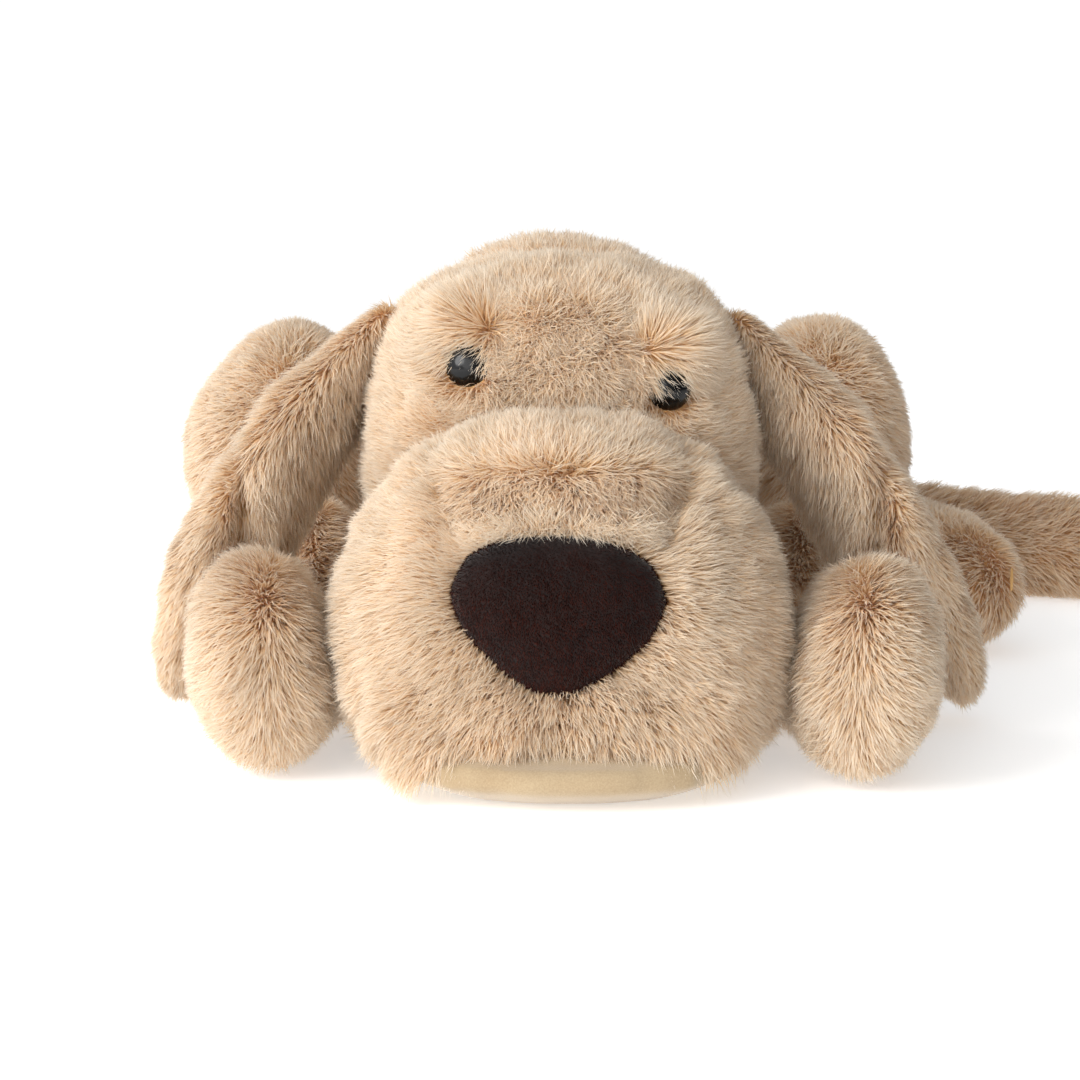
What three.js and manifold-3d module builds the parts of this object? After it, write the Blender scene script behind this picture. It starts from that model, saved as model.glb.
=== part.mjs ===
// A floppy plush dog lying on its belly with its head between its front paws.
// Millimetres, +Z up. The dog faces -Y, so its own left side is at +X.
// The pieces are laid out from a point on the floor under the neck, and the finished dog is then moved so that
// its origin is the middle of its flat belly.
// Every soft part is a skin of pile fabric, as thick as the fabric and its fur, round a core of stuffing.
import * as THREE from "three";
import { mergeVertices } from "three/addons/utils/BufferGeometryUtils.js";
import Module from "manifold-3d";

const wasm = await Module();
wasm.setup();

// Driving dimensions.
const SKIN = 7; // pile fabric with its fur pressed to its average height
const SHORT_PILE = 3; // the smooth fabric of the chin, soles and nose
const GAP = 0.6; // between neighbouring solids of one body
const TOLERANCE = 0.2; // how far a finished surface may be simplified
const JOINT_GAP = 2; // between the torso's widest section and a leg
const BELLY_MIDDLE_Y = 100;
const SEAM_Z = 11; // height of the seam round the belly and the soles
const EYE_RADIUS = 10;
const POST_RADIUS = 3.5;
const SIDES = [
  { name: "left", x: 1 }, // the dog's own left
  { name: "right", x: -1 },
];

const TORSO = { back: 246, halfWidth: 95, top: 218 };
const HEAD = { centre: [0, -104, 122], radii: [89, 80, 92], power: 2.35 };
const MUZZLE = { centre: [0, -186, 52], radii: [98, 75, 98], power: 2.5 };
const CHIN = { centre: [2, -214, 15], radii: [73, 71, 19], power: 2.8 };
const NOSE = { centre: [-2, -254, 76], radii: [43, 17, 34], roll: 3 };
const EYE = { x: 45, z: 164, roll: 6 };
const EAR = { centre: [139, -104, 95], radii: [17, 40, 97], lean: 30, open: 20 };
const HIP_INNER_X = TORSO.halfWidth + JOINT_GAP;
// From the shoulder, behind, to the toes; nothing of it beside the head comes nearer the middle than the muzzle.
const FRONT_LEG = [
  { x: 117, y: 42, z: 42, across: 12, up: 14 },
  { x: 117, y: 34, z: 46, across: 22, up: 32 },
  { x: 120, y: 0, z: 47, across: 27, up: 44 },
  { x: 113, y: -50, z: 32, across: 23, up: 30 },
  { x: 110, y: -100, z: 27, across: 21, up: 25 },
  { x: 114, y: -130, z: 30, across: 22, up: 29 },
  { x: 125, y: -160, z: 43, across: 26, up: 43 },
  { x: 129, y: -192, z: 46, across: 28, up: 46 },
  { x: 124, y: -222, z: 44, across: 25, up: 39 },
  { x: 120, y: -236, z: 43, across: 14, up: 20 },
];
const PAW_REACH = { left: 18, right: 3 }; // how much farther forward each front paw lies
const HAUNCH = { left: { x: 144, across: 47 }, right: { x: 150, across: 54 } };
const HIND_FOOT = { heel: [152, 166], reach: 62, radii: [39, 88, 40], splay: { left: 32, right: 7 } };
const TAIL_RADIUS = 29;

const radians = THREE.MathUtils.degToRad;

// ---- Geometry helpers ----

function solidFrom(geometry) {
  const bare = geometry.index ? geometry.toNonIndexed() : geometry.clone();
  bare.deleteAttribute("normal");
  bare.deleteAttribute("uv");
  const merged = mergeVertices(bare, 1e-3);
  return new wasm.Manifold(
    new wasm.Mesh({
      numProp: 3,
      vertProperties: merged.attributes.position.array,
      triVerts: new Uint32Array(merged.index.array),
    }),
  );
}

function geometryFrom(solid) {
  const mesh = solid.simplify(TOLERANCE).getMesh();
  const geometry = new THREE.BufferGeometry();
  geometry.setAttribute("position", new THREE.BufferAttribute(mesh.vertProperties, 3));
  geometry.setIndex(new THREE.BufferAttribute(mesh.triVerts, 1));
  const flat = geometry.toNonIndexed();
  flat.computeVertexNormals();
  return flat;
}

function join(solids) {
  return solids.reduce((all, next) => all.add(next));
}

function boxSolid(low, high) {
  const size = high.map((value, i) => value - low[i]);
  const middle = high.map((value, i) => (value + low[i]) / 2);
  return solidFrom(new THREE.BoxGeometry(...size).translate(...middle));
}

// A cylinder between two points.
function rodSolid(from, to, radius, sides = 8) {
  const start = new THREE.Vector3(...from);
  const span = new THREE.Vector3(...to).sub(start);
  const rod = new THREE.CylinderGeometry(radius, radius, span.length(), sides);
  const turn = new THREE.Quaternion().setFromUnitVectors(new THREE.Vector3(0, 1, 0), span.clone().normalize());
  const middle = start.addScaledVector(span, 0.5);
  return solidFrom(rod.applyQuaternion(turn).translate(middle.x, middle.y, middle.z));
}

// A pillow: a sphere whose radii differ, squared up a little by power, then reshaped by bend(point, unit).
function pillow({ centre, radii, power = 2.3 }, inset, { around = 14, along = 9, bend, turn } = {}) {
  const geometry = new THREE.SphereGeometry(1, around, along).rotateX(Math.PI / 2);
  const place = geometry.attributes.position;
  const unit = new THREE.Vector3();
  for (let i = 0; i < place.count; i++) {
    unit.fromBufferAttribute(place, i);
    const length = (Math.abs(unit.x) ** power + Math.abs(unit.y) ** power + Math.abs(unit.z) ** power) ** (1 / power);
    const point = unit.clone().divideScalar(length);
    point.multiply(new THREE.Vector3(...radii.map((radius) => radius - inset)));
    if (bend) bend(point, inset);
    place.setXYZ(i, point.x, point.y, point.z);
  }
  if (turn) geometry.applyMatrix4(turn);
  return solidFrom(geometry.translate(...centre));
}

// A soft tube through stations {at, across, up}: half its width and half its height at each place.
// An inset tube is narrower all round, and its stations move up along the same line to make it shorter too.
function softTube(stations, inset, power, sides = 16) {
  const positions = [];
  const line = stations.map(({ at }) => new THREE.Vector3(...at));
  const reached = [0];
  for (let i = 1; i < line.length; i++) reached.push(reached[i - 1] + line[i].distanceTo(line[i - 1]));
  const whole = reached[reached.length - 1];
  const along = (distance) => {
    const i = Math.max(1, reached.findIndex((value) => value >= distance));
    return line[i - 1].clone().lerp(line[i], (distance - reached[i - 1]) / (reached[i] - reached[i - 1]));
  };
  const rings = stations.map(({ across, up }, i) => {
    const before = line[Math.max(i - 1, 0)];
    const after = line[Math.min(i + 1, line.length - 1)];
    const ahead = after.clone().sub(before).normalize();
    const side = new THREE.Vector3().crossVectors(ahead, new THREE.Vector3(0, 0, 1)).normalize();
    const rise = new THREE.Vector3().crossVectors(side, ahead);
    const middle = along(inset + reached[i] * (1 - (2 * inset) / whole));
    return Array.from({ length: sides }, (_, k) => {
      const angle = (2 * Math.PI * k) / sides;
      const [c, s] = [Math.cos(angle), Math.sin(angle)];
      const length = (Math.abs(c) ** power + Math.abs(s) ** power) ** (1 / power);
      return middle
        .clone()
        .addScaledVector(side, ((across - inset) * c) / length)
        .addScaledVector(rise, ((up - inset) * s) / length);
    });
  });
  const triangle = (a, b, c) => positions.push(...a.toArray(), ...b.toArray(), ...c.toArray());
  for (let i = 0; i + 1 < rings.length; i++) {
    for (let k = 0; k < sides; k++) {
      const next = (k + 1) % sides;
      triangle(rings[i][k], rings[i + 1][k], rings[i][next]);
      triangle(rings[i][next], rings[i + 1][k], rings[i + 1][next]);
    }
  }
  const middleOf = (ring) => ring.reduce((sum, p) => sum.add(p), new THREE.Vector3()).divideScalar(sides);
  const [first, last] = [rings[0], rings[rings.length - 1]];
  for (let k = 0; k < sides; k++) {
    const next = (k + 1) % sides;
    triangle(middleOf(first), first[k], first[next]);
    triangle(middleOf(last), last[next], last[k]);
  }
  const geometry = new THREE.BufferGeometry();
  geometry.setAttribute("position", new THREE.BufferAttribute(new Float32Array(positions), 3));
  return solidFrom(geometry);
}

// What lies flat on the floor: everything under z = height is pressed away.
function pressedFlat(solid, height) {
  const reach = 600;
  return solid.subtract(boxSolid([-reach, -reach, height - 300], [reach, reach, height]));
}

// What is left of a solid beyond the plane |x| = limit.
function outsideOf(solid, side, limit) {
  const edges = [-side.x * 400, side.x * limit].sort((a, b) => a - b);
  return solid.subtract(boxSolid([edges[0], -400, -400], [edges[1], 400, 400]));
}

// ---- Materials ----

const finish = (color, roughness, metalness = 0) => new THREE.MeshStandardMaterial({ color, roughness, metalness });
const FUR = finish(0xe2c79c, 0.95);
const SHORT_FUR = finish(0xe6d0a4, 0.9);
const NOSE_PILE = finish(0x3a1f18, 0.9);
const STUFFING = finish(0xf4f2ee, 1.0);
const POUCH_CLOTH = finish(0xd9d5cc, 0.8);
const EYE_PLASTIC = finish(0x07080a, 0.08);
const WASHER_PLASTIC = finish(0xe9e9e6, 0.5);
const THREAD = finish(0xc99f68, 0.8);
const LABEL_SATIN = finish(0xf3f1ea, 0.5);

const dog = new THREE.Group();

function addPiece(name, solid, material) {
  const mesh = new THREE.Mesh(geometryFrom(solid), material);
  mesh.name = name;
  dog.add(mesh);
}

// The hollow shell of a form, and the filling that stays inside it.
const shellOf = (form, thickness = SKIN) => form(0).subtract(form(thickness));
const core = (form, thickness = SKIN) => form(thickness + 2 * GAP).intersect(form(thickness + GAP));

// The skin of a form, cut along a level seam into the fur above and a smooth panel below.
function splitAtSeam(shell, seam) {
  const reach = 600;
  const below = boxSolid([-reach, -reach, -10], [reach, reach, seam]);
  const belowAndGap = boxSolid([-reach, -reach, -10], [reach, reach, seam + GAP]);
  return { fur: shell.subtract(belowAndGap), panel: shell.intersect(below) };
}

// ---- Torso ----

function torsoForm(inset) {
  const { back, halfWidth, top } = TORSO;
  const stations = [
    { at: [0, -21, 112], across: 24, up: 30 },
    { at: [0, -12, 110], across: 52, up: 58 },
    { at: [0, 8, 107], across: 72, up: 86 },
    { at: [0, 42, 106], across: 86, up: 110 },
    { at: [0, 95, 104], across: halfWidth, up: top - 104 },
    { at: [0, 150, 98], across: halfWidth, up: 108 },
    { at: [0, 198, 88], across: 84, up: 90 },
    { at: [0, 228, 80], across: 62, up: 68 },
    { at: [0, back - 4, 74], across: 34, up: 38 },
    { at: [0, back, 72], across: 16, up: 18 },
  ];
  return pressedFlat(softTube(stations, inset, 2.25, 16), inset);
}

const POUCH_GRID = { around: 10, along: 6 };

function addTorso() {
  const neckOpening = rodSolid([0, -60, 112], [0, 10, 112], 30, 8);
  const shell = shellOf(torsoForm).subtract(neckOpening);
  const { fur, panel } = splitAtSeam(shell, SEAM_Z);
  const pouch = { centre: [0, 100, 42], radii: [56, 74, 20], power: 2.6 };
  const pocket = { ...pouch, radii: pouch.radii.map((radius) => radius + GAP) };
  const stuffing = core(torsoForm).subtract(pillow(pocket, 0, POUCH_GRID));
  addPiece("torso_skin", fur, FUR);
  addPiece("belly_panel", panel, FUR);
  // The pouch goes in from below, so its pocket is open down to the belly panel.
  const way = boxSolid([-12, 88, 0], [12, 112, 42]);
  addPiece("torso_stuffing", stuffing.subtract(way), STUFFING);
  addPiece("bean_pouch", pillow(pouch, 0, POUCH_GRID), POUCH_CLOTH);
  const labelFoot = [-64, 214, 34];
  const label = new THREE.BoxGeometry(1.6, 26, 18).rotateZ(radians(-38)).translate(...labelFoot);
  addPiece("care_label", solidFrom(label).subtract(torsoForm(-GAP)), LABEL_SATIN);
}

// ---- Head ----

function headForm(inset) {
  return pillow(HEAD, inset, { around: 14, along: 9 });
}

function muzzleForm(inset) {
  // Widest low down, in the jowls; narrower at the back, where it runs into the cheeks, and over the bridge.
  const bend = (point) => {
    const backward = Math.max(0, point.y / MUZZLE.radii[1]);
    const upward = Math.max(0, point.z / MUZZLE.radii[2]);
    point.x *= 1 - 0.12 * backward - 0.14 * upward ** 2;
    if (point.z < 0) point.z *= 0.62;
  };
  return pressedFlat(pillow(MUZZLE, inset, { around: 14, along: 9, bend }), 8 + inset);
}

function chinForm(inset) {
  return pressedFlat(pillow(CHIN, inset, { around: 14, along: 5 }), inset);
}

function noseForm(inset) {
  // A soft triangle, wide at the top and coming to a point below.
  const bend = (point) => {
    const down = Math.max(0, -point.z / NOSE.radii[2]);
    const narrowing = 1 - 0.62 * down ** 1.15;
    point.x *= narrowing;
    if (point.z > 0) point.z *= 0.92;
  };
  const turn = new THREE.Matrix4().makeRotationY(radians(NOSE.roll));
  return pillow({ ...NOSE, power: 2.5 }, inset, { around: 12, along: 7, bend, turn });
}

// Where an eye's axis meets the head, and the way it looks.
function eyeSeat(side) {
  const tilt = radians(EYE.roll);
  const x = side.x * EYE.x * Math.cos(tilt) + 3;
  const z = EYE.z - side.x * EYE.x * Math.sin(tilt);
  const share = (value, i) => Math.abs((value - HEAD.centre[i]) / HEAD.radii[i]) ** HEAD.power;
  const depth = HEAD.radii[1] * (1 - share(x, 0) - share(z, 2)) ** (1 / HEAD.power);
  const seat = new THREE.Vector3(x, HEAD.centre[1] - depth, z);
  const look = new THREE.Vector3(side.x * 0.3, -1, 0.26).normalize();
  return { seat, look };
}

// Along the eye's axis: a rounded front, a flat back on the skin, and a post that a washer locks on.
function eyeSolid(side) {
  const { seat, look } = eyeSeat(side);
  const profile = [[0, 7.2], [4.2, 6.4], [7.6, 4], [EYE_RADIUS, -0.6], [9.2, -2], [POST_RADIUS, -2]];
  const post = [[POST_RADIUS, -12.8], [2.8, -13.3], [2.8, -15.4], [POST_RADIUS, -15.9], [2.2, -17.6], [0, -18]];
  const points = [...profile, ...post].reverse().map(([radius, along]) => new THREE.Vector2(radius, along));
  const lathe = new THREE.LatheGeometry(points, 10);
  const turn = new THREE.Quaternion().setFromUnitVectors(new THREE.Vector3(0, 1, 0), look);
  return solidFrom(lathe.applyQuaternion(turn).translate(seat.x, seat.y, seat.z));
}

function alongLook(side, distance) {
  const { seat, look } = eyeSeat(side);
  return seat.addScaledVector(look, distance).toArray();
}

function addHead() {
  const neckOpening = rodSolid([0, -60, 112], [0, 10, 112], 30, 8);
  let skin = shellOf(headForm).subtract(muzzleForm(-GAP)).subtract(neckOpening);
  let stuffing = core(headForm);
  for (const side of SIDES) {
    const dimple = rodSolid(alongLook(side, -2.4), alongLook(side, 30), EYE_RADIUS + GAP);
    const postHole = rodSolid(alongLook(side, -22), alongLook(side, 0), POST_RADIUS + GAP);
    const washerRoom = rodSolid(alongLook(side, -20), alongLook(side, -2.4), 10.2, 10);
    skin = skin.subtract(dimple).subtract(postHole);
    stuffing = stuffing.subtract(washerRoom).subtract(postHole);
    const washer = rodSolid(alongLook(side, -15.3), alongLook(side, -13.6), 9.2, 10);
    addPiece(`eye_${side.name}`, eyeSolid(side), EYE_PLASTIC);
    addPiece(`eye_washer_${side.name}`, washer.subtract(postHole), WASHER_PLASTIC);
  }
  addPiece("head_skin", skin, FUR);
  addPiece("head_stuffing", stuffing, STUFFING);

  const noseSeat = noseForm(-GAP);
  const muzzleShell = shellOf(muzzleForm);
  addPiece("muzzle_skin", muzzleShell.subtract(headForm(-GAP)).subtract(noseSeat).subtract(chinForm(-GAP)), FUR);
  const muzzleFill = core(muzzleForm).subtract(headForm(SKIN)).subtract(noseSeat).subtract(chinForm(-GAP));
  addPiece("muzzle_stuffing", muzzleFill, STUFFING);

  addPiece("nose_cover", shellOf(noseForm, SHORT_PILE).subtract(noseBackWindow()), NOSE_PILE);
  addPiece("nose_padding", core(noseForm, SHORT_PILE), STUFFING);
  const chinShell = shellOf(chinForm, SHORT_PILE).subtract(headForm(-GAP));
  addPiece("chin_panel", chinShell.subtract(chinTurningHole()), SHORT_FUR);
  addPiece("chin_stuffing", core(chinForm, SHORT_PILE).subtract(headForm(-GAP)), STUFFING);
}

// The nose is stuffed from behind, before it is sewn on.
function noseBackWindow() {
  return rodSolid([0, -246, 78], [0, -228, 78], 11);
}

// The jaw is stuffed from above, under the muzzle.
function chinTurningHole() {
  return rodSolid([0, -200, 24], [0, -200, 44], 22);
}

// ---- Ears ----

function earForm(side, inset) {
  const [x, y, z] = EAR.centre;
  // It hangs outwards, with its front edge turned away from the head, and is narrower at its root.
  const turn = new THREE.Matrix4().makeRotationY(radians(-side.x * EAR.lean));
  turn.multiply(new THREE.Matrix4().makeRotationZ(radians(side.x * EAR.open)));
  const bend = (point) => {
    point.y *= 1 - 0.2 * Math.max(0, point.z / EAR.radii[2]);
  };
  const leaf = { centre: [side.x * x, y, z], radii: EAR.radii, power: 2.2 };
  return pillow(leaf, inset, { around: 12, along: 8, bend, turn });
}

function addEar(side) {
  const [x, y, z] = EAR.centre;
  const lean = radians(EAR.lean);
  // Everything on the head's side of the leaf's middle plane.
  const plane = (offset) => {
    const block = new THREE.BoxGeometry(100, 200, 300).translate(side.x * (offset - 50), 0, 0);
    block.rotateZ(radians(side.x * EAR.open));
    block.rotateY(-side.x * lean).translate(side.x * x, y, z);
    return solidFrom(block);
  };
  const form = (inset) => earForm(side, inset);
  const shell = shellOf(form);
  addPiece(`ear_${side.name}_outer`, shell.subtract(plane(GAP / 2)), FUR);
  addPiece(`ear_${side.name}_inner`, shell.intersect(plane(-GAP / 2)), FUR);
  addPiece(`ear_${side.name}_wadding`, core(form), STUFFING);
}

// ---- Front legs ----

function frontLegForm(side, inset) {
  const ahead = (y) => Math.min(1, Math.max(0, (-60 - y) / 90)) * PAW_REACH[side.name];
  const stations = FRONT_LEG.map(({ x, y, z, across, up }) => ({ at: [side.x * x, y - ahead(y), z], across, up }));
  return pressedFlat(softTube(stations, inset, 2.25, 12), inset);
}

function addFrontLeg(side) {
  const form = (inset) => frontLegForm(side, inset);
  const armhole = rodSolid([side.x * 60, 8, 50], [side.x * 104, 8, 50], 20);
  const { fur, panel } = splitAtSeam(shellOf(form).subtract(armhole), SEAM_Z);
  addPiece(`front_leg_${side.name}_skin`, fur, FUR);
  addPiece(`front_leg_${side.name}_sole`, panel, SHORT_FUR);
  addPiece(`front_leg_${side.name}_stuffing`, core(form), STUFFING);
  addPiece(`front_paw_${side.name}_toe_thread`, toeThread([side.x * 120, -237 - PAW_REACH[side.name], 46]), THREAD);
}

// A short bar of doubled thread that pulls the toes apart, sunk in the fur of a paw's front.
function toeThread([x, y, z]) {
  return rodSolid([x, y - 1.6, z - 6], [x, y - 1.6, z + 6], 1, 8);
}

// ---- Hind legs ----

function hindFootPlace(side) {
  const splay = radians(HIND_FOOT.splay[side.name]);
  const ahead = [Math.sin(splay) * HIND_FOOT.reach, -Math.cos(splay) * HIND_FOOT.reach];
  return {
    turn: new THREE.Matrix4().makeRotationZ(side.x * splay),
    centre: [side.x * (HIND_FOOT.heel[0] + ahead[0]), HIND_FOOT.heel[1] + ahead[1], 38],
    splay,
  };
}

function hindLegForm(side, inset) {
  const { turn, centre } = hindFootPlace(side);
  const { x, across } = HAUNCH[side.name];
  // Its top slopes away from the hip.
  const bend = (point) => {
    const outward = Math.max(0, (side.x * point.x) / across);
    if (point.z > 0) point.z *= 1 - 0.2 * outward ** 2;
  };
  const upper = { centre: [side.x * x, 152, 104], radii: [across, 78, 66] };
  const haunch = pillow(upper, inset, { around: 12, along: 8, bend });
  const foot = pillow({ centre, radii: HIND_FOOT.radii }, inset, { around: 12, along: 7, turn });
  return pressedFlat(outsideOf(join([haunch, foot]), side, HIP_INNER_X + inset), inset);
}

function addHindLeg(side) {
  const form = (inset) => hindLegForm(side, inset);
  const hipOpening = rodSolid([side.x * 80, 155, 105], [side.x * 112, 155, 105], 26);
  const { fur, panel } = splitAtSeam(shellOf(form).subtract(hipOpening), SEAM_Z);
  addPiece(`hind_leg_${side.name}_skin`, fur, FUR);
  addPiece(`hind_leg_${side.name}_sole`, panel, SHORT_FUR);
  addPiece(`hind_leg_${side.name}_stuffing`, core(form), STUFFING);
  const { centre, splay } = hindFootPlace(side);
  const toe = HIND_FOOT.radii[1];
  const tip = [centre[0] + side.x * Math.sin(splay) * toe, centre[1] - Math.cos(splay) * toe, 42];
  addPiece(`hind_paw_${side.name}_toe_thread`, toeThread(tip), THREAD);
}

// ---- Tail ----

function tailForm(inset) {
  const r = TAIL_RADIUS;
  const stations = [
    { at: [6, 266, 62], across: 12, up: 12 },
    { at: [16, 270, 60], across: 23, up: 23 },
    { at: [40, 275, 56], across: r - 2, up: r - 2 },
    { at: [110, 282, 44], across: r, up: r },
    { at: [180, 280, 35], across: r + 1, up: r + 1 },
    { at: [250, 266, 30], across: r + 1, up: r + 1 },
    { at: [308, 244, 29], across: r, up: r },
    { at: [338, 228, 27], across: r - 6, up: r - 6 },
    { at: [350, 220, 26], across: 13, up: 13 },
  ];
  return pressedFlat(softTube(stations, inset, 2, 10), inset);
}

function addTail() {
  const rootOpening = rodSolid([22, 236, 60], [22, 262, 60], 12);
  addPiece("tail_skin", shellOf(tailForm).subtract(rootOpening), FUR);
  addPiece("tail_stuffing", core(tailForm), STUFFING);
}

addTorso();
addHead();
for (const side of SIDES) {
  addEar(side);
  addFrontLeg(side);
  addHindLeg(side);
}
addTail();
dog.position.y = -BELLY_MIDDLE_Y;

export default dog;
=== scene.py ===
"""Looks of a floppy plush dog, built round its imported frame.

Each stuffed part is a closed skin: the frame's solid for it, remeshed evenly, blown up as cloth with its
seams held, then sculpted where darts and tacking stitches draw it in. Geometry Nodes grow the pile on it.
"""

import math

import bmesh
import bpy
import numpy as np
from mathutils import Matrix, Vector
from mathutils.bvhtree import BVHTree


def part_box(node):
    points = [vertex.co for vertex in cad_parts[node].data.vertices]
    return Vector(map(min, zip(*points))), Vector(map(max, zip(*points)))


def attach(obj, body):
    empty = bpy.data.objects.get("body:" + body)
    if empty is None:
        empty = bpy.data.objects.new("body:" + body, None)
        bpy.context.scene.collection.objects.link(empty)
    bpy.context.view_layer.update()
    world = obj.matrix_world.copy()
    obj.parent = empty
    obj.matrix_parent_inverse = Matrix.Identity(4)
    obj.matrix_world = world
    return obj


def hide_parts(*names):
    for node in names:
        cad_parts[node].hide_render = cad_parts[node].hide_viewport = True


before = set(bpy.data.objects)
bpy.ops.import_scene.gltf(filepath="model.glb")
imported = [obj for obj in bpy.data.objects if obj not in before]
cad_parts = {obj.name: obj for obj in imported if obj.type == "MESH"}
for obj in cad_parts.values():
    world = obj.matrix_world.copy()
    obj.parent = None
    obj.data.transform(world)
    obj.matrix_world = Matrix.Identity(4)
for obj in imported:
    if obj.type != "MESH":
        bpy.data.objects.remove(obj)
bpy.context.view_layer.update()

MM = 0.001
PILE = 15 * MM  # length of the long pile
SHORT_PILE = 1.6 * MM  # length of the velour on the nose
VOXEL = 6 * MM
SEAM_Z = 11 * MM  # height of the seam round the belly and the soles
PILE_STANDS = 6.5 * MM  # how high the pile stands over its backing, once it lies over
SWELL = 4 * MM  # how far the stuffing may push a skin out
UP = np.array([0.0, 0.0, 1.0])
SIDES = (("left", 1.0), ("right", -1.0))
made = {}  # each soft part's skin object, by its name


# ---- Places that the frame gives ----


def mm(*place):
    """A place or a step, given in millimetres."""
    return np.array(place) * MM


def zero_to_one(values):
    """The values, held between 0 and 1."""
    return np.clip(values, 0, 1)


def corners(*nodes):
    """The corner points of these frame solids, as an array."""
    return np.array([v.co[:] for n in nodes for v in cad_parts[n].data.vertices])


def middle(node):
    low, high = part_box(node)
    return np.array([(a + b) / 2 for a, b in zip(low, high)])


def eye_axis(name):
    """Where an eye's front is, and the way it looks: its front and its post's end are farthest apart."""
    points = corners(f"eye_{name}")
    gaps = np.linalg.norm(points[:, None] - points[None], axis=2)
    one, other = np.unravel_index(gaps.argmax(), gaps.shape)
    front, back = sorted((points[one], points[other]), key=lambda p: p[1])
    look = (front - back) / np.linalg.norm(front - back)
    return front, look


NOSE = middle("nose_cover")
NOSE_LOW, NOSE_HIGH = (np.array(c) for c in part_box("nose_cover"))
EYES = {name: eye_axis(name) for name, _ in SIDES}
TOES = {name: middle(f"front_paw_{name}_toe_thread") for name, _ in SIDES}
HIND_TOES = {name: middle(f"hind_paw_{name}_toe_thread") for name, _ in SIDES}


# ---- Node trees ----


def node(tree, kind, inputs=None, **settings):
    """Adds a node with its settings, and its inputs by name or number: sockets to link, or values."""
    made_node = tree.nodes.new(kind)
    for key, value in settings.items():
        setattr(made_node, key, value)
    for key, value in (inputs or {}).items():
        if isinstance(value, bpy.types.NodeSocket):
            tree.links.new(value, made_node.inputs[key])
        else:
            made_node.inputs[key].default_value = value
    return made_node


def settle(shader, constants):
    """Sets plain values on a shader's own sockets."""
    for key, value in constants.items():
        shader.inputs[key].default_value = value


MATH = "ShaderNodeMath"
VECTOR = "ShaderNodeVectorMath"
READ = "GeometryNodeInputNamedAttribute"
KEEP = "GeometryNodeStoreNamedAttribute"


def linear(code):
    """An sRGB colour such as "#e2c79c" as linear RGBA."""
    channels = [int(code[i : i + 2], 16) / 255 for i in (1, 3, 5)]
    return (*[c / 12.92 if c <= 0.04045 else ((c + 0.055) / 1.055) ** 2.4 for c in channels], 1.0)


def new_material(name):
    """An empty material with its Principled shader: (material, tree, shader)."""
    material = bpy.data.materials.new(name)
    material.use_nodes = True
    tree = material.node_tree
    tree.nodes.clear()
    shader = node(tree, "ShaderNodeBsdfPrincipled")
    node(tree, "ShaderNodeOutputMaterial", {"Surface": shader.outputs[0]})
    return material, tree, shader


EVEN = (0.94, 1.03, 26.0)


def pile_material(name, root, middle_tone, tip, glow, sheen, through, patches=EVEN, shine=0.4):
    """Polyester pile: each fibre darker and warmer down in the coat, as painted shade for the depth of the
    coat, and paler at its sheared tip, partly its own colour and partly painted light; thin enough for
    light to pass through. glow tints the bloom on fibres seen side on; patches are how dark and how pale
    the pile drifts, and how many drifts there are to a metre."""
    material, tree, shader = new_material(name)
    along = node(tree, "ShaderNodeAttribute", attribute_name="along")
    tone = node(tree, "ShaderNodeAttribute", attribute_name="tone")
    # Painted shade: the root stop is darker and warmer for the shade deep in the coat; the pale tip is
    # partly painted light.
    ramp = node(tree, "ShaderNodeValToRGB", {"Fac": along.outputs["Fac"]})
    stops = ramp.color_ramp.elements
    stops[0].position, stops[0].color = 0.0, linear(root)
    stops[1].position, stops[1].color = 0.9, linear(tip)
    between = stops.new(0.42)
    between.color = linear(middle_tone)
    place = node(tree, "ShaderNodeTexCoord")
    dim, lit, scale = patches
    drifts = {"Vector": place.outputs["Object"], "Scale": scale, "Detail": 4.0}
    drift = node(tree, "ShaderNodeTexNoise", drifts)
    dark = node(tree, "ShaderNodeMapRange", {"Value": drift.outputs[0], 1: 0.3, 2: 0.7, 3: dim, 4: lit})
    fibre = node(tree, "ShaderNodeMapRange", {"Value": tone.outputs["Fac"], 3: 0.92, 4: 1.05})
    both = node(tree, MATH, {0: dark.outputs[0], 1: fibre.outputs[0]}, operation="MULTIPLY")
    toned = {0: ramp.outputs["Color"], "Scale": both.outputs[0]}
    colour = node(tree, VECTOR, toned, operation="SCALE")
    tree.links.new(colour.outputs[0], shader.inputs["Base Color"])
    bloom = {"Sheen Weight": sheen, "Sheen Roughness": 0.4, "Sheen Tint": linear(glow)}
    settle(shader, {"Roughness": 0.62, "Specular IOR Level": shine, **bloom})
    if through:
        thin = node(tree, "ShaderNodeBsdfTranslucent", {"Color": colour.outputs[0]})
        mixed = node(tree, "ShaderNodeMixShader", {0: through, 1: shader.outputs[0], 2: thin.outputs[0]})
        output = next(n for n in tree.nodes if n.type == "OUTPUT_MATERIAL")
        tree.links.new(mixed.outputs[0], output.inputs["Surface"])
    return material


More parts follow.
